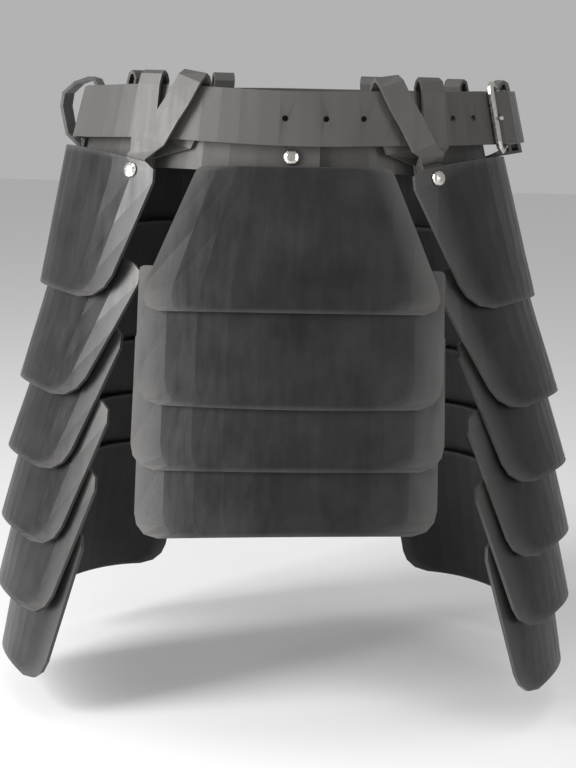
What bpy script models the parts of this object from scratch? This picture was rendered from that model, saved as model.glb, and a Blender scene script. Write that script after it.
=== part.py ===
"""Leather armour skirt: a buckled belt with a front panel, two side tassets and two rear tassets.

Metres, +Z up. The front faces -Y and the photo's right is +X. The origin is the centre of the
belt's loop at half its height.
"""

import bpy
import bmesh
import numpy as np
from math import cos, pi, radians, sin, sqrt, tan
from mathutils import Matrix, Vector

MM = 0.001

# Leather and the gap kept between touching pieces
LAME_THICKNESS = 0.0030
BELT_THICKNESS = 0.0032
BAND_THICKNESS = 0.0025
STRAP_THICKNESS = 0.0024
SEAT_GAP = 0.0003
LAYER_GAP = 0.0007
FACET_ALLOWANCE = 0.0004

# Belt: an ellipse in plan, half sizes of its outer face at mid height, wider towards its lower edge
BELT_HEIGHT = 0.038
BELT_HALF_WIDTH = 0.169
BELT_HALF_DEPTH = 0.128
BELT_FLARE_X = 0.25
BELT_FLARE_Y = 0.10
BELT_STEPS = 60

# Millimetres along the belt, from the middle of the front towards +X
HOLES_ALONG = [-8, 21, 48, 73, 97, 119, 139]
HOLE_RADIUS = 0.0022
FREE_BAR_ALONG = 158.5
HEEL_BAR_ALONG = 185.5

# How far the belt rides up or down as it is worn: millimetres along it, millimetres up
BELT_LIFT = [(-475, 0), (-300, -3), (-235, -4), (-190, -0.5), (-105, 2.2), (0, 0), (105, 2.2), (160, 3.2),
             (235, 3.5), (340, 1), (475, 0)]

# The belt's outer face in plan, millimetres along it and out from its ellipse: the end folded round
# the heel bar, and the tail that rises over the fold
FOLD_END = [(219, -6.9), (206, -7.3), (194, -9.6)]
FOLD_RADIUS = 5.9
HEEL_BAR_OUT = -4.3
FOLD_START = [(193, 0.9), (203, 0.1), (215, 0)]
TAIL = [(130, 0), (144, 0.5), (158.5, 1.6), (170, 3.4), (185.5, 5.2), (200, 4.4), (215, 3.7), (230, 3.6),
        (246, 3.6)]
TAIL_POINT = 20

# Buckle: a D of round bar, millimetres from the free bar and up, and the share of the full radius
BAR_RADIUS = 0.0025
BUCKLE_HALF = [(0, 0, 1.0), (0, 9, 1.0), (0, 17, 1.0), (1.2, 21.5, 0.95), (5, 24.3, 0.85), (10, 23.2, 0.75),
               (17, 21.5, 0.62), (24, 21.3, 0.62), (26.6, 20.4, 0.7), (27, 18, 0.76), (27, 8, 0.76)]
PRONG_RADIUS = 0.0017
PRONG_REACH = 2.5
PRONG_CLEARANCE = 0.6
PRONG_REST = 1.7
PRONG_STEPS = 14

# The slot in the fold for the prong: its middle along and out, then its length, height and depth
FOLD_SLOT = (184, -4.4)
FOLD_SLOT_SIZE = (16.5, 4.6, 12.4)

# Waist band, seen in the gap under the belt
BAND_TOP = 0.004
BAND_BOTTOM = -0.038
BAND_HALF_WIDTH = 0.148
BAND_HALF_DEPTH = 0.1190
BAND_BACK_IN = 0.010
BAND_SWAY = -0.0070

# Strap loops over the belt
STRAP_WIDTH = 0.0185
RIVET_HEAD_RADIUS = 0.0056
RIVET_HEAD_HEIGHT = 0.0026
RIVET_SHANK_RADIUS = 0.0018
RIVET_HOLE_RADIUS = 0.0022
RIVET_WASHER_RADIUS = 0.0045
RIVET_WASHER_HEIGHT = 0.0012

# How much a lame's ends hang below its middle, per metre of width squared
LAME_DROOP = 1.4

# Side lames in millimetres: heights of the upper and lower edge, half widths of the plate at each
# edge, and the plan ellipse that its outer face follows there
SIDE_LAMES = [
    dict(top=-26, bottom=-132, half_top=108, half_bottom=69, wide=(169.8, 194.9), deep=(146, 160),
         droop=0.8),
    dict(top=-95, bottom=-206, half_top=102, half_bottom=60, wide=(177.7, 214), deep=(144, 168)),
    dict(top=-146, bottom=-262, half_top=90, half_bottom=61, wide=(184, 223.5), deep=(147, 175)),
    dict(top=-199, bottom=-318, half_top=96, half_bottom=66, wide=(196, 229), deep=(156, 183)),
    dict(top=-250, bottom=-372, half_top=95, half_bottom=65, wide=(202, 232), deep=(164, 189)),
    dict(top=-298, bottom=-427, half_top=86, half_bottom=60, wide=(205.5, 229), deep=(170, 191)),
]
# How far the belt's worn lean pushes each side lame's two edges towards -X
SIDE_SWAY = [(8, 3.3), (3.2, 0), (0, 0), (0, 0), (0, 0), (0, 0)]
SIDE_CENTRE_AHEAD = 0.058
SIDE_CORNERS = (0.013, 0.022)

# Rear lames follow the same plan, a little further in, and sit behind the side lames
REAR_LAMES = [
    dict(top=-27, bottom=-132, half_top=84, half_bottom=74, wide=(170, 192), deep=(134, 156)),
    dict(top=-95, bottom=-206, half_top=80, half_bottom=68, wide=(177, 212), deep=(142, 168)),
    dict(top=-146, bottom=-262, half_top=78, half_bottom=66, wide=(184, 222), deep=(147, 175)),
    dict(top=-199, bottom=-318, half_top=77, half_bottom=64, wide=(195, 228), deep=(156, 183)),
    dict(top=-248, bottom=-366, half_top=76, half_bottom=62, wide=(201, 230), deep=(163, 188)),
    dict(top=-292, bottom=-411, half_top=75, half_bottom=62, wide=(204, 229), deep=(169, 191)),
]
REAR_CENTRE_BEHIND = 0.138
REAR_CORNERS = (0.013, 0.020)

# Front lames: the same columns, with the roll of each plate as it hangs and its own droop
FRONT_LAMES = [
    dict(top=-33, bottom=-135, half_top=69, half_bottom=115, deep=(131, 146), roll=0.6, droop=0.2),
    dict(top=-105, bottom=-203, half_top=112, half_bottom=113, deep=(135, 155), roll=0.4, droop=0.1),
    dict(top=-149, bottom=-247, half_top=114, half_bottom=116, deep=(139, 160.5), roll=1.1, droop=0.3),
    dict(top=-195, bottom=-293, half_top=111, half_bottom=112, deep=(145, 166), roll=2.1, droop=0.5),
]
FRONT_HALF_WIDTH = 230
FRONT_CORNERS = (0.004, 0.019)

# Rivets: the point on each plate, from the middle of the plate and from its upper edge
SIDE_RIVET_IN = 0.026
SIDE_RIVET_DOWN = 0.0085
STRAP_END = 0.009

# Loops over the belt, from behind it to its front: millimetres towards the middle of the front from
# the rivet, up, out from the belt, and the strap's lean in degrees
UPRIGHT_LOOP = [(-1, -22, -4.8, 0), (-1, -17, -6.3, 0), (-1.5, 10, -6.4, 0),
                (-1.5, 23.5, -6.4, 0),
                (-1.5, 28.5, -3, 0), (-1.5, 31, 1.2, 0), (-1.5, 28.5, 5, 0), (-1.5, 21, 6, 0),
                (-1.5, 0, 3.4, 0), (-1.5, -18, 3.1, 0)]
SLANTED_LOOP = [(25, -22, -8.2, -12), (33, 0, -6.4, -20), (35, 22, -6.4, -8), (34, 28.5, -3.3, -8),
                (33, 31, 1.2, -8), (31, 26, 6.2, -18), (25, 12, 6.8, -25), (18.6, 0, 7.2, -25),
                (11, -18, 8.3, -20), (5, -24, 7.05, -8)]
BULGING_LOOP = [(0, -24.5, -7.2, 0), (0, 0, -7.0, 0), (0, 18, -7.0, 0), (0, 23, -3, 0), (0, 24.5, 3, 0),
                (0, 20.5, 13, 0), (0, 12, 20.4, 0), (0, 1, 19.4, 0), (0, -21, 9.2, 0)]
PLAIN_LOOP = [(0, -24, -6.4, 0), (0, 0, -6.4, 0), (0, 24, -6.4, 0), (0, 28.5, -3, 0), (0, 30.5, 0.5, 0),
              (0, 28.5, 3.5, 0), (0, 22, 4.0, 0), (0, 0, 3.9, 0), (0, -25, 4.2, 0)]

# Front hanger: its middle and width, then heights and half depths of its outer face
FRONT_HANGER_X = 5.5
FRONT_HANGER_WIDTH = 23.5
FRONT_HANGER = [(4, 121.7), (-8, 122.9), (-20, 124.2), (-33, 125.8), (-50, 129.0), (-70, 132.0)]
HANGER_RIVET = (-3, -125.5, -27)
HANGER_SLOPE = 0.123
HANGER_RIVET_DEPTH = 0.0072

# Straps inside the plates, millimetres across from each plate's middle
SIDE_STRAPS_ACROSS = (-45, 45)
FRONT_STRAPS_ACROSS = (-52, 52)
INNER_STRAP_GAP = 0.0009
INNER_STRAP_DOWN = 0.0005

PLATE_COLUMNS = 10
COLOURS = {
    "leather": ((0.012, 0.012, 0.013), 0.36, 0.0),
    "strap_leather": ((0.015, 0.015, 0.016), 0.40, 0.0),
    "nickel": ((0.62, 0.60, 0.56), 0.25, 1.0),
}


# Scene helpers

def clear_scene():
    for item in list(bpy.data.objects):
        bpy.data.objects.remove(item)


def new_collection(name):
    group = bpy.data.collections.new(name)
    bpy.context.scene.collection.children.link(group)
    return group


def principled(name, kind):
    colour, roughness, metallic = COLOURS[kind]
    material = bpy.data.materials.new(name)
    material.use_nodes = True
    shader = material.node_tree.nodes["Principled BSDF"]
    shader.inputs["Base Color"].default_value = (*colour, 1.0)
    shader.inputs["Roughness"].default_value = roughness
    shader.inputs["Metallic"].default_value = metallic
    return material


def add_piece(name, bm, kind):
    mesh = bpy.data.meshes.new(name)
    bm.to_mesh(mesh)
    bm.free()
    mesh.shade_smooth()
    mesh.set_sharp_from_angle(angle=radians(40))
    piece = bpy.data.objects.new(name, mesh)
    PARTS.objects.link(piece)
    mesh.materials.append(principled(name, kind))
    return piece


def thicken(piece, thickness):
    wall = piece.modifiers.new("wall", "SOLIDIFY")
    wall.thickness = thickness
    wall.offset = -1.0
    wall.use_even_offset = True
    return wall


def cut(piece, cutter):
    hole = piece.modifiers.new("hole", "BOOLEAN")
    hole.operation = "DIFFERENCE"
    hole.object = cutter
    hole.solver = "EXACT"


# Plan ellipses: distances along one are measured from its front point towards +X

def ellipse_table(half_width, half_depth):
    angle = np.linspace(-3 * pi, 3 * pi, 2401)
    speed = np.hypot(half_width * np.cos(angle), half_depth * np.sin(angle))
    steps = (speed[1:] + speed[:-1]) / 2 * np.diff(angle)
    along = np.concatenate([[0.0], np.cumsum(steps)])
    return angle, along - np.interp(0.0, angle, along)


def plan_angle(along, half_width, half_depth):
    angle, table = ellipse_table(half_width, half_depth)
    return np.interp(along, table, angle)


def plan_length(turn, half_width, half_depth):
    angle, table = ellipse_table(half_width, half_depth)
    return np.interp(turn, angle, table)


def plan_point(angle, half_width, half_depth, out=0.0):
    x, y = half_width * sin(angle), -half_depth * cos(angle)
    outward = Vector((x / half_width**2, y / half_depth**2, 0.0)).normalized()
    return Vector((x, y, 0.0)) + outward * out


def belt_point(along, z, out=0.0):
    angle = plan_angle(along, BELT_HALF_WIDTH, BELT_HALF_DEPTH)
    wide = BELT_HALF_WIDTH - BELT_FLARE_X * z
    deep = BELT_HALF_DEPTH - BELT_FLARE_Y * z
    point = plan_point(angle, wide, deep, out)
    point.z = z
    return point


def belt_lift(along):
    """The belt's rise at a place along it, eased between the rows of BELT_LIFT."""
    lap = plan_length(2 * pi, BELT_HALF_WIDTH, BELT_HALF_DEPTH)
    place = ((along / lap + 0.5) % 1.0 - 0.5) * lap / MM
    for (start, low), (end, high) in zip(BELT_LIFT, BELT_LIFT[1:]):
        if place <= end:
            share = max(0.0, (place - start) / (end - start))
            break
    share = min(share, 1.0)
    return (low + (high - low) * share**2 * (3 - 2 * share)) * MM


# Plates: a flat rounded outline bent onto a cone

class Plate:
    """One lame. centre is its middle, along the plan ellipse at half its height."""

    def __init__(self, row, centre, corners, sway=(0.0, 0.0), wide=None):
        self.top, self.bottom = row["top"] * MM, row["bottom"] * MM
        self.half_top, self.half_bottom = row["half_top"] * MM, row["half_bottom"] * MM
        self.wide = [size * MM for size in (wide or row["wide"])]
        self.deep = [size * MM for size in row["deep"]]
        self.sway = [size * MM for size in sway]
        self.corners = corners
        self.droop = row.get("droop", LAME_DROOP)
        self.roll = tan(radians(row.get("roll", 0.0)))
        self.mid_wide = sum(self.wide) / 2
        self.mid_deep = sum(self.deep) / 2
        self.centre = centre(self.mid_wide, self.mid_deep)
        spread = max(self.wide[1] - self.wide[0], self.deep[1] - self.deep[0])
        self.height = sqrt((self.top - self.bottom) ** 2 + spread**2)

    def half_width(self, down):
        share = down / self.height
        half = self.half_top + (self.half_bottom - self.half_top) * share
        for radius, edge_distance in zip(self.corners, (down, self.height - down)):
            if edge_distance < radius:
                half -= radius - sqrt(radius**2 - (radius - edge_distance) ** 2)
        return half

    def point(self, across, down, out=0.0):
        """A point of the outer face, across from the plate's middle and down from its top."""
        share = down / self.height
        wide = self.wide[0] + (self.wide[1] - self.wide[0]) * share
        deep = self.deep[0] + (self.deep[1] - self.deep[0]) * share
        angle = plan_angle(self.centre + across, self.mid_wide, self.mid_deep)
        spot = plan_point(angle, wide, deep, out)
        spot.x -= self.sway[0] + (self.sway[1] - self.sway[0]) * share
        spot.z = self.top + (self.bottom - self.top) * share
        spot.z += self.roll * spot.x - self.droop * across**2
        return spot

    def rows(self):
        upper, lower = self.corners
        height = self.height
        start = [0.0, 0.3 * upper, upper]
        end = [height - lower, height - 0.55 * lower, height - 0.18 * lower, height]
        return start + [(start[-1] + end[0]) / 2] + end

    def face(self, across, down):
        """Frame of the outer face: a point, its outward normal and its downward direction."""
        step = 0.001
        spot = self.point(across, down)
        sideways = self.point(across + step, down) - spot
        downward = self.point(across, down + step) - spot
        normal = downward.cross(sideways).normalized()
        return spot, normal, downward.normalized()


def add_plate(name, plate):
    rows = plate.rows()
    bm = bmesh.new()
    bmesh.ops.create_grid(bm, x_segments=PLATE_COLUMNS, y_segments=len(rows) - 1, size=1.0)
    for vertex in bm.verts:
        row = round((1 - vertex.co.y) / 2 * (len(rows) - 1))
        across = vertex.co.x * plate.half_width(rows[row])
        vertex.co = plate.point(across, rows[row])
    piece = add_piece(name, bm, "leather")
    thicken(piece, LAME_THICKNESS)
    return piece


# Straps: a ribbon along a smooth path

def smooth_path(knots, steps):
    """Points on a Catmull-Rom curve through the rows of knots, steps to each span."""
    rows = [np.array(row, float) for row in knots]
    rows = [2 * rows[0] - rows[1]] + rows + [2 * rows[-1] - rows[-2]]
    path = []
    for index in range(1, len(rows) - 2):
        before, start, end, after = rows[index - 1:index + 3]
        for step in range(steps):
            t = step / steps
            slope = 2 * start + (end - before) * t
            bend = (2 * before - 5 * start + 4 * end - after) * t**2
            close = (3 * start - before - 3 * end + after) * t**3
            path.append((slope + bend + close) / 2)
    path.append(rows[-2])
    return path


def add_ribbon(name, pairs, thickness, steps=3):
    """A strip whose outer face runs between two smooth edges, given as pairs of points."""
    knots = [(*left, *right) for left, right in pairs]
    path = smooth_path(knots, steps)
    bm = bmesh.new()
    bmesh.ops.create_grid(bm, x_segments=1, y_segments=len(path) - 1, size=1.0)
    for vertex in bm.verts:
        row = round((1 - vertex.co.y) / 2 * (len(path) - 1))
        vertex.co = path[row][:3] if vertex.co.x < 0 else path[row][3:]
    piece = add_piece(name, bm, "strap_leather")
    thicken(piece, thickness)
    return piece


def worn_point(along, z, out):
    """A point by the belt as it is worn, at a true height."""
    point = belt_point(along, z - belt_lift(along), out)
    point.z = z
    return point


def belt_edges(along, z, out, lean=0.0, width=STRAP_WIDTH):
    """The two edges of a strap at a place on the belt's cone, all in millimetres and degrees."""
    shift = width / 2 * cos(radians(lean))
    lift = width / 2 * sin(radians(lean))
    return [worn_point(along * MM + sign * shift, z * MM + sign * lift, out * MM) for sign in (-1, 1)]


def plate_edges(plate, across, down, behind, lean=0.0, width=STRAP_WIDTH):
    """The two edges of a strap behind a plate."""
    shift = width / 2 * cos(radians(lean))
    lift = width / 2 * sin(radians(lean))
    left = plate.point(across - shift, down + lift, -behind)
    right = plate.point(across + shift, down - lift, -behind)
    return left, right


# Turned pieces, set along an axis

def add_turned(name, profile, place, segments=12):
    """A profile of (radius, height) turned about Z and placed by a matrix, closed at both ends."""
    bm = bmesh.new()
    points = [bm.verts.new((radius, 0.0, height)) for radius, height in profile]
    for start, end in zip(points, points[1:]):
        bm.edges.new((start, end))
    piece = add_piece(name, bm, "nickel")
    turn = piece.modifiers.new("turn", "SCREW")
    turn.steps = segments
    turn.render_steps = segments
    turn.use_merge_vertices = True
    turn.merge_threshold = 0.0001 * 0.5
    piece.matrix_world = place
    return piece


def axis_frame(point, normal):
    turn = normal.to_track_quat("Z", "Y")
    return Matrix.Translation(point) @ turn.to_matrix().to_4x4()


def add_cutter(name, place, radius, length, segments=10):
    bm = bmesh.new()
    bmesh.ops.create_cone(bm, cap_ends=True, segments=segments, radius1=radius, radius2=radius,
                          depth=length)
    mesh = bpy.data.meshes.new(name)
    bm.to_mesh(mesh)
    bm.free()
    cutter = bpy.data.objects.new(name, mesh)
    CUTTERS.objects.link(cutter)
    cutter.matrix_world = place
    cutter.display_type = "WIRE"
    cutter.hide_render = True
    return cutter


def add_slot(name, place):
    bpy.ops.mesh.primitive_cube_add(size=1.0)
    cutter = bpy.context.object
    cutter.name = name
    for group in list(cutter.users_collection):
        group.objects.unlink(cutter)
    CUTTERS.objects.link(cutter)
    length, height, depth = [size * MM for size in FOLD_SLOT_SIZE]
    outward = place.to_3x3() @ Vector((0, 0, 1))
    up = Vector((0, 0, 1))
    along = up.cross(outward).normalized()
    turn = Matrix((along, up, outward)).transposed().to_4x4()
    cutter.matrix_world = Matrix.Translation(place.translation) @ turn @ Matrix.Diagonal(
        (length, height, depth, 1.0))
    cutter.display_type = "WIRE"
    cutter.hide_render = True
    return cutter


def add_rivet(name, point, normal, layers):
    """A domed head on the outer face, a shank through layers of leather and a washer behind."""
    depth = layers + SEAT_GAP
    head = [(0.0, RIVET_HEAD_HEIGHT + SEAT_GAP)]
    for turn in (35, 65, 90):
        radius = RIVET_HEAD_RADIUS * sin(radians(turn))
        height = SEAT_GAP + 0.0006 + (RIVET_HEAD_HEIGHT - 0.0006) * cos(radians(turn))
        head.append((radius, height))
    head.append((RIVET_HEAD_RADIUS, SEAT_GAP))
    shank = [(RIVET_SHANK_RADIUS, SEAT_GAP), (RIVET_SHANK_RADIUS, -depth)]
    washer = [(RIVET_WASHER_RADIUS, -depth), (RIVET_WASHER_RADIUS, -depth - RIVET_WASHER_HEIGHT),
              (0.0, -depth - RIVET_WASHER_HEIGHT)]
    place = axis_frame(point, normal)
    add_turned(name, head + shank + washer, place)
    return add_cutter(name + "_hole", place, RIVET_HOLE_RADIUS, 2.6 * layers)


# Belt and buckle

def belt_outline():
    """Rows of (along, out) in millimetres for the belt's outer face, from the fold to the tail."""
    fold = list(FOLD_END)
    for turn in range(-90, -271, -30):
        angle = radians(turn)
        fold.append((HEEL_BAR_ALONG + FOLD_RADIUS * cos(angle), HEEL_BAR_OUT + FOLD_RADIUS * sin(angle)))
    fold += FOLD_START
    lap = plan_length(2 * pi, BELT_HALF_WIDTH, BELT_HALF_DEPTH) / MM
    start, end = FOLD_START[-1][0], lap + TAIL[0][0]
    ring = [(start + (end - start) * step / BELT_STEPS, 0.0) for step in range(1, BELT_STEPS)]
    return fold + ring + [(lap + along, out) for along, out in TAIL]


def add_belt():
    outline = belt_outline()
    tip = outline[-1][0]
    bm = bmesh.new()
    bmesh.ops.create_grid(bm, x_segments=len(outline) - 1, y_segments=1, size=1.0)
    for vertex in bm.verts:
        along, out = outline[round((vertex.co.x + 1) / 2 * (len(outline) - 1))]
        height = BELT_HEIGHT / 2
        if tip - along < TAIL_POINT:
            height *= 0.35 + 0.65 * sqrt((tip - along) / TAIL_POINT)
        z = height * vertex.co.y
        lift = belt_lift(along * MM)
        vertex.co = belt_point(along * MM, z, out * MM)
        vertex.co.z += lift
    belt = add_piece("belt", bm, "leather")
    thicken(belt, BELT_THICKNESS)
    for number, along in enumerate(HOLES_ALONG):
        centre = belt_point(along * MM, 0.0)
        normal = belt_point(along * MM, 0.0, 0.01) - centre
        centre.z = belt_lift(along * MM)
        cut(belt, add_cutter(f"hole_{number}", axis_frame(centre, normal), HOLE_RADIUS, 0.02))
    return belt


def buckle_point(along, up, out):
    """A point by the buckle, in millimetres: along the belt, up from its middle and out from it."""
    point = belt_point(along * MM, up * MM, out * MM)
    point.z = up * MM + belt_lift(HEEL_BAR_ALONG * MM)
    return point


def add_wire(name, points, radii, closed):
    curve = bpy.data.curves.new(name, "CURVE")
    curve.dimensions = "3D"
    curve.bevel_depth = 1.0
    curve.bevel_resolution = 2
    curve.use_fill_caps = not closed
    spline = curve.splines.new("POLY")
    spline.points.add(len(points) - 1)
    for knot, point, radius in zip(spline.points, points, radii):
        knot.co = (*point, 1.0)
        knot.radius = radius
    spline.use_cyclic_u = closed
    piece = bpy.data.objects.new(name, curve)
    PARTS.objects.link(piece)
    curve.materials.append(principled(name, "nickel"))
    return piece


def add_buckle(belt):
    free_out = TAIL[2][1] + (BAR_RADIUS + SEAT_GAP) / MM
    length = HEEL_BAR_ALONG - FREE_BAR_ALONG
    half = [row for row in BUCKLE_HALF if row[1] > 0]
    loop = BUCKLE_HALF[:1] + half + [(x, -z, size) for x, z, size in reversed(half)]
    points, radii = [], []
    for x, z, size in loop:
        out = free_out + (HEEL_BAR_OUT - free_out) * x / length
        points.append(buckle_point(FREE_BAR_ALONG + x, z, out))
        radii.append(BAR_RADIUS * size)
    add_wire("buckle_frame", points, radii, True)
    add_prong(belt, free_out)


def add_prong(belt, free_out):
    """A hook round the heel bar whose shank comes up through the belt and rests on the free bar."""
    radius = PRONG_RADIUS / MM
    heel_radius = BAR_RADIUS / MM * BUCKLE_HALF[-1][2]
    hook = heel_radius + radius + PRONG_CLEARANCE
    rest = (FREE_BAR_ALONG, free_out + BAR_RADIUS / MM + radius + PRONG_REST)
    reach = (rest[0] - HEEL_BAR_ALONG, rest[1] - HEEL_BAR_OUT)
    distance = sqrt(reach[0] ** 2 + reach[1] ** 2)
    leave = np.arctan2(reach[1], reach[0]) + np.arccos(hook / distance)
    flat = []
    for step in range(PRONG_STEPS + 1):
        turn = radians(80) + (leave - 2 * pi - radians(80)) * step / PRONG_STEPS
        flat.append((HEEL_BAR_ALONG + hook * cos(turn), HEEL_BAR_OUT + hook * sin(turn)))
    flat += [rest, (rest[0] - PRONG_REACH, rest[1] - 0.3)]
    points = [buckle_point(along, 0.0, out) for along, out in flat]
    add_wire("buckle_prong", points, [PRONG_RADIUS] * (len(points) - 1) + [PRONG_RADIUS * 0.6], False)
    foot, tip = points[-3], points[-2]
    shank = axis_frame((foot + tip) / 2, tip - foot)
    cut(belt, add_cutter("prong_slot", shank, PRONG_RADIUS + 0.0008, (tip - foot).length * 1.02))
    middle = buckle_point(FOLD_SLOT[0], 0.0, FOLD_SLOT[1])
    outward = buckle_point(FOLD_SLOT[0], 0.0, FOLD_SLOT[1] + 1) - middle
    cut(belt, add_slot("fold_slot", axis_frame(middle, outward)))


def add_band():
    bm = bmesh.new()
    bmesh.ops.create_cone(bm, cap_ends=False, segments=48, radius1=1.0, radius2=1.0, depth=2.0)
    for vertex in bm.verts:
        angle = np.arctan2(vertex.co.x, -vertex.co.y)
        z = BAND_TOP if vertex.co.z > 0 else BAND_BOTTOM
        wide = BAND_HALF_WIDTH - BELT_FLARE_X * z
        deep = BAND_HALF_DEPTH - BELT_FLARE_Y * z
        if vertex.co.y > 0.01:
            deep -= BAND_BACK_IN
        vertex.co = plan_point(angle, wide, deep)
        vertex.co.x += BAND_SWAY
        vertex.co.z = z
    band = add_piece("waist_band", bm, "leather")
    thicken(band, BAND_THICKNESS)
    return band


# Plates of the tassets and the front panel

def side_plates(side):
    def centre(wide, deep):
        return side * (plan_length(pi / 2, wide, deep) - SIDE_CENTRE_AHEAD)
    return [Plate(row, centre, SIDE_CORNERS, sway) for row, sway in zip(SIDE_LAMES, SIDE_SWAY)]


def rear_plates(side):
    def centre(wide, deep):
        return side * (plan_length(pi / 2, wide, deep) + REAR_CENTRE_BEHIND)
    return [Plate(row, centre, REAR_CORNERS) for row in REAR_LAMES]


def front_plates():
    def centre(wide, deep):
        return 0.0
    wide = (FRONT_HALF_WIDTH, FRONT_HALF_WIDTH)
    return [Plate(row, centre, FRONT_CORNERS, wide=wide) for row in FRONT_LAMES]


def add_plates(name, plates):
    return [add_plate(f"{name}_lame_{number}", plate) for number, plate in enumerate(plates, 1)]


# Hangers

def layer_depth(number, near=True):
    """How far behind a plate's outer face the near or far face of a strap layer lies."""
    depth = LAME_THICKNESS + FACET_ALLOWANCE + number * LAYER_GAP + (number - 1) * STRAP_THICKNESS
    return depth if near else depth + STRAP_THICKNESS * 1.03


def belt_place(point):
    """Millimetres along the belt to the place level with a point."""
    angle = np.arctan2(point.x / BELT_HALF_WIDTH, -point.y / BELT_HALF_DEPTH)
    return plan_length(angle, BELT_HALF_WIDTH, BELT_HALF_DEPTH) / MM


def loop_pairs(rows, place, inward):
    """Edge pairs of a loop; inward is +1 where the middle of the front lies towards +X."""
    return [belt_edges(place + inward * shift, z, out, inward * lean) for shift, z, out, lean in rows]


def end_pairs(plate, across, down, behind, lean=0.0):
    """A strap's end behind a plate, from just above the rivet to its cut end."""
    run = tan(radians(lean))
    return [plate_edges(plate, across + run * step, down + step, behind, lean)
            for step in (-SIDE_RIVET_DOWN - STRAP_END / 9, 0.0, STRAP_END)]


def add_loop(name, plate, across, rows, layers, inward, lean=0.0):
    """A strap from a rivet behind a plate up behind the belt, over it and down to the rivet."""
    front, back = layers
    place = belt_place(plate.point(across, SIDE_RIVET_DOWN))
    start = end_pairs(plate, across, SIDE_RIVET_DOWN, layer_depth(back, near=False), lean)
    end = end_pairs(plate, across, SIDE_RIVET_DOWN, layer_depth(front), lean)
    return add_ribbon(name, start[::-1] + loop_pairs(rows, place, inward) + end, STRAP_THICKNESS,
                      steps=1)


def rivet_through(name, plate, across, layers, pieces):
    point, normal, downward = plate.face(across, SIDE_RIVET_DOWN)
    depth = layer_depth(layers, near=False)
    hole = add_rivet(name, point, normal, depth)
    for piece in pieces:
        cut(piece, hole)


def add_side_tasset(name, side):
    plates = side_plates(side)
    lames = add_plates(name, plates)
    plate, lame = plates[0], lames[0]
    reach = plate.half_top - SIDE_RIVET_IN
    front, rear = -side * reach, side * reach
    inward = -side
    upright = add_loop(f"{name}_hanger_upright", plate, front, UPRIGHT_LOOP, (2, 3), inward)
    slanted = add_loop(f"{name}_hanger_slanted", plate, front, SLANTED_LOOP, (1, 4), inward)
    rivet_through(f"{name}_rivet_front", plate, front, 4, (lame, upright, slanted))
    rows = BULGING_LOOP if side < 0 else PLAIN_LOOP
    loop = add_loop(f"{name}_hanger_rear", plate, rear, rows, (1, 2), inward)
    rivet_through(f"{name}_rivet_rear", plate, rear, 2, (lame, loop))
    add_inner_straps(name, plates, SIDE_STRAPS_ACROSS)


def add_inner_straps(name, plates, places):
    """Straps that lie against the upper edge of each plate and hold it to the next."""
    for number, place in enumerate(places, 1):
        behind = LAME_THICKNESS + INNER_STRAP_GAP
        pairs = [plate_edges(plate, place * MM, INNER_STRAP_DOWN, behind) for plate in plates[1:]]
        pairs.insert(0, plate_edges(plates[0], place * MM, 2 * STRAP_END, behind))
        pairs.append(plate_edges(plates[-1], place * MM, 4 * STRAP_END, behind))
        add_ribbon(f"{name}_inner_strap_{number}", pairs, STRAP_THICKNESS, steps=1)


def add_rear_tasset(name, side):
    plates = rear_plates(side)
    lames = add_plates(name, plates)
    for number, place in enumerate(SIDE_STRAPS_ACROSS, 1):
        across = place * MM
        behind = LAME_THICKNESS + INNER_STRAP_GAP + STRAP_THICKNESS
        climb = [plate_edges(plate, across, INNER_STRAP_DOWN, behind) for plate in plates[:0:-1]]
        climb.insert(0, plate_edges(plates[-1], across, 4 * STRAP_END, behind))
        point = plates[0].point(across, SIDE_RIVET_DOWN)
        loop = loop_pairs(PLAIN_LOOP, belt_place(point), 0)
        back = end_pairs(plates[0], across, SIDE_RIVET_DOWN, layer_depth(2, near=False))[::-1]
        end = end_pairs(plates[0], across, SIDE_RIVET_DOWN, layer_depth(1))
        strap = add_ribbon(f"{name}_hanger_{number}", climb + back + loop + end, STRAP_THICKNESS,
                           steps=1)
        rivet_through(f"{name}_rivet_{number}", plates[0], across, 2, (lames[0], strap))


def add_front_hanger(band):
    half = FRONT_HANGER_WIDTH / 2
    pairs = []
    for z, deep in FRONT_HANGER:
        edges = []
        for x in (FRONT_HANGER_X - half, FRONT_HANGER_X + half):
            y = -deep * sqrt(1 - (x / BELT_HALF_WIDTH * MM) ** 2)
            edges.append(Vector((x, y, z)) * MM)
        pairs.append(edges)
    hanger = add_ribbon("front_hanger", pairs, STRAP_THICKNESS, steps=1)
    normal = Vector((0, -1, HANGER_SLOPE)).normalized()
    hole = add_rivet("front_hanger_rivet", Vector(HANGER_RIVET) * MM, normal, HANGER_RIVET_DEPTH)
    cut(hanger, hole)
    cut(band, hole)


def main():
    belt = add_belt()
    add_buckle(belt)
    band = add_band()
    add_front_hanger(band)
    plates = front_plates()
    add_plates("front", plates)
    add_inner_straps("front", plates, FRONT_STRAPS_ACROSS)
    for name, side in (("left", -1), ("right", 1)):
        add_side_tasset(name, side)
        add_rear_tasset(f"rear_{name}", side)


clear_scene()
PARTS = new_collection("leather_armour_skirt")
CUTTERS = new_collection("cutters")
main()
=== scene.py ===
"""Looks of the leather armour skirt: leather and metal finishes, floor, light and camera."""

import bpy
from math import radians
from mathutils import Matrix, Vector

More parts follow.
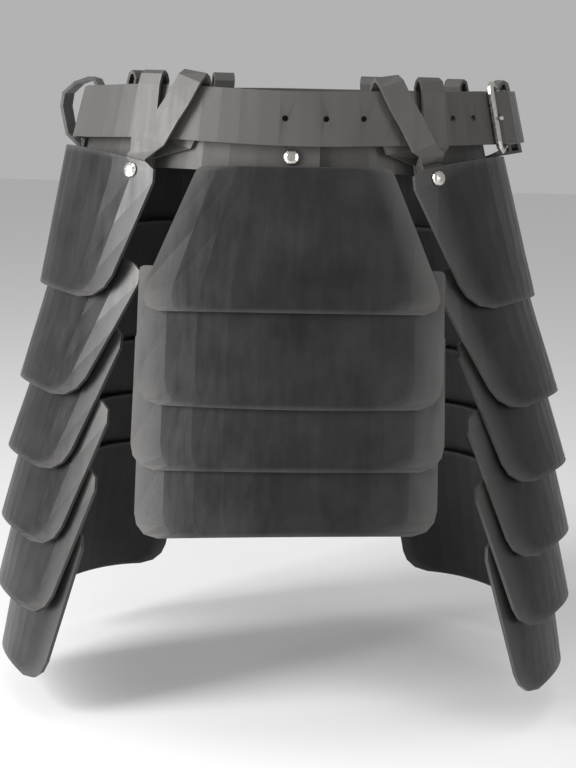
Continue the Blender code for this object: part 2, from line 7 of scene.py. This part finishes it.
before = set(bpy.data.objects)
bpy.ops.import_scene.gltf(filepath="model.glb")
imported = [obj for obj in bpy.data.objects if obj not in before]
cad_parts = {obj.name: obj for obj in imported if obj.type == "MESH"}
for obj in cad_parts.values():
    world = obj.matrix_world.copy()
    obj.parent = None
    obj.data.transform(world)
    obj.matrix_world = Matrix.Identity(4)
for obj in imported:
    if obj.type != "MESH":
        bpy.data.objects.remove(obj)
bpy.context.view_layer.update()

# Camera, fitted to the photograph: millimetres in the frame and degrees
CAMERA_PLACE = (-0.0008, -1.278, 0.030)
CAMERA_PITCH = 10.794
CAMERA_ROLL = 1.6
CAMERA_LENS = 75.97

EDGE_RADIUS = 0.0007
METAL_WORDS = ("buckle", "rivet")
STRAP_WORDS = ("hanger", "strap")
FLOOR_HEIGHT = -0.46

LEATHER_LOOKS = {
    "plate": dict(colour=(0.008, 0.008, 0.009), worn=(0.020, 0.020, 0.021), rough=(0.30, 0.46), grain=900.0),
    "belt": dict(colour=(0.007, 0.007, 0.008), worn=(0.018, 0.018, 0.019), rough=(0.34, 0.50), grain=1100.0),
    "strap": dict(colour=(0.009, 0.009, 0.010), worn=(0.024, 0.023, 0.023), rough=(0.36, 0.52), grain=1200.0),
}


# Materials

class Nodes:
    """Short names for building a node tree."""

    def __init__(self, material):
        material.use_nodes = True
        self.tree = material.node_tree
        self.shader = self.tree.nodes["Principled BSDF"]

    def add(self, kind, **values):
        node = self.tree.nodes.new(kind)
        for name, value in values.items():
            node.inputs[name.replace("_", " ")].default_value = value
        return node

    def link(self, start, end):
        self.tree.links.new(start, end)

    def ramp(self, source, low, high, colours):
        ramp = self.tree.nodes.new("ShaderNodeValToRGB")
        ramp.color_ramp.elements[0].position = low
        ramp.color_ramp.elements[1].position = high
        for element, colour in zip(ramp.color_ramp.elements, colours):
            element.color = (*colour, 1.0)
        self.link(source, ramp.inputs["Fac"])
        return ramp.outputs["Color"]


def leather(name, look):
    """Smooth dyed leather: cloudy wear, a fine grain, long draw marks and a painted highlight on sharp edges.
    """
    material = bpy.data.materials.new(name)
    nodes = Nodes(material)
    place = nodes.add("ShaderNodeNewGeometry").outputs["Position"]
    cloud = nodes.add("ShaderNodeTexNoise", Scale=26.0, Detail=6.0, Roughness=0.6)
    grain = nodes.add("ShaderNodeTexNoise", Scale=look["grain"], Detail=3.0)
    stretch = nodes.add("ShaderNodeMapping", Scale=(170.0, 170.0, 9.0))
    marks = nodes.add("ShaderNodeTexNoise", Scale=1.0, Detail=4.0)
    nodes.link(place, cloud.inputs["Vector"])
    nodes.link(place, grain.inputs["Vector"])
    nodes.link(place, stretch.inputs["Vector"])
    nodes.link(stretch.outputs["Vector"], marks.inputs["Vector"])
    base = nodes.ramp(cloud.outputs["Fac"], 0.35, 0.75, (look["colour"], look["worn"]))
    # Painted highlight: sharp edges (high pointiness) are given a pale grey colour that stands in for light
    # catching the leather edges.
    edge = nodes.add("ShaderNodeNewGeometry").outputs["Pointiness"]
    painted_edge_highlight = nodes.ramp(edge, 0.53, 0.60, ((0, 0, 0), (1, 1, 1)))
    mix = nodes.tree.nodes.new("ShaderNodeMix")
    mix.data_type = "RGBA"
    nodes.link(painted_edge_highlight, mix.inputs[0])
    nodes.link(base, mix.inputs[6])
    # Colour of the painted edge highlight.
    mix.inputs[7].default_value = (0.07, 0.067, 0.064, 1.0)
    nodes.link(mix.outputs[2], nodes.shader.inputs["Base Color"])
    low, high = look["rough"]
    rough = nodes.ramp(marks.outputs["Fac"], 0.3, 0.7, ((low,) * 3, (high,) * 3))
    nodes.link(rough, nodes.shader.inputs["Roughness"])
    bump = nodes.add("ShaderNodeBump", Strength=0.22, Distance=0.0003)
    soft = nodes.add("ShaderNodeBump", Strength=0.16, Distance=0.0009)
    nodes.link(grain.outputs["Fac"], bump.inputs["Height"])
    nodes.link(cloud.outputs["Fac"], soft.inputs["Height"])
    nodes.link(bump.outputs["Normal"], soft.inputs["Normal"])
    nodes.link(soft.outputs["Normal"], nodes.shader.inputs["Normal"])
    nodes.shader.inputs["Coat Weight"].default_value = 0.06
    nodes.shader.inputs["Coat Roughness"].default_value = 0.28
    nodes.shader.inputs["Specular IOR Level"].default_value = 0.30
    return material


def nickel():
    """Bright plated metal with faint rubbing."""
    material = bpy.data.materials.new("nickel")
    nodes = Nodes(material)
    nodes.shader.inputs["Metallic"].default_value = 1.0
    nodes.shader.inputs["Base Color"].default_value = (0.62, 0.60, 0.56, 1.0)
    rub = nodes.add("ShaderNodeTexNoise", Scale=420.0, Detail=3.0)
    nodes.link(nodes.add("ShaderNodeNewGeometry").outputs["Position"], rub.inputs["Vector"])
    rough = nodes.ramp(rub.outputs["Fac"], 0.3, 0.7, ((0.16,) * 3, (0.34,) * 3))
    nodes.link(rough, nodes.shader.inputs["Roughness"])
    return material


def plain(name, colour, roughness):
    material = bpy.data.materials.new(name)
    shader = Nodes(material).shader
    shader.inputs["Base Color"].default_value = (*colour, 1.0)
    shader.inputs["Roughness"].default_value = roughness
    return material


def has_word(name, words):
    return any(word in name for word in words)


def look_of(name):
    if has_word(name, STRAP_WORDS):
        return "strap"
    return "belt" if name in ("belt", "waist_band") else "plate"


# Pieces

def finish_piece(node, materials):
    """Give a CAD node its finish."""
    name = node.name
    material = materials["metal"] if has_word(name, METAL_WORDS) else materials[look_of(name)]
    node.data.materials.clear()
    node.data.materials.append(material)


# Studio

def add_floor():
    bpy.ops.mesh.primitive_plane_add(size=12.0, location=(0.0, 0.0, FLOOR_HEIGHT))
    floor = bpy.context.object
    floor.name = "floor"
    floor.data.materials.append(plain("floor", (0.86, 0.86, 0.87), 0.7))


def add_light(name, place, target, size, power):
    data = bpy.data.lights.new(name, "AREA")
    data.shape = "RECTANGLE"
    data.size, data.size_y = size
    data.energy = power
    light = bpy.data.objects.new(name, data)
    light.location = place
    light.rotation_euler = (Vector(target) - Vector(place)).to_track_quat("-Z", "Y").to_euler()
    bpy.context.scene.collection.objects.link(light)


def add_lights():
    world = bpy.data.worlds.new("studio")
    world.use_nodes = True
    world.node_tree.nodes["Background"].inputs["Color"].default_value = (1.0, 1.0, 1.0, 1.0)
    world.node_tree.nodes["Background"].inputs["Strength"].default_value = 0.45
    bpy.context.scene.world = world
    add_light("softbox_left", (-1.5, -0.9, 0.35), (0.0, 0.0, -0.15), (0.7, 1.5), 60.0)
    add_light("fill_right", (1.5, -1.3, 0.3), (0.0, 0.0, -0.2), (0.6, 1.2), 8.0)
    add_light("top", (0.0, -0.3, 1.5), (0.0, 0.0, 0.0), (1.2, 0.8), 5.0)


def add_camera():
    data = bpy.data.cameras.new("camera")
    data.lens = CAMERA_LENS
    data.sensor_width = 36.0
    camera = bpy.data.objects.new("camera", data)
    turn = Matrix.Rotation(radians(90.0 - CAMERA_PITCH), 4, "X") @ Matrix.Rotation(radians(CAMERA_ROLL), 4, "Z")
    camera.matrix_world = Matrix.Translation(CAMERA_PLACE) @ turn
    bpy.context.scene.collection.objects.link(camera)
    bpy.context.scene.camera = camera


def main():
    materials = {kind: leather(f"leather_{kind}", look) for kind, look in LEATHER_LOOKS.items()}
    materials["metal"] = nickel()
    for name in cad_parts:
        finish_piece(bpy.data.objects[name], materials)
    add_floor()
    add_lights()
    add_camera()
    bpy.context.scene.view_settings.view_transform = "Standard"


main()
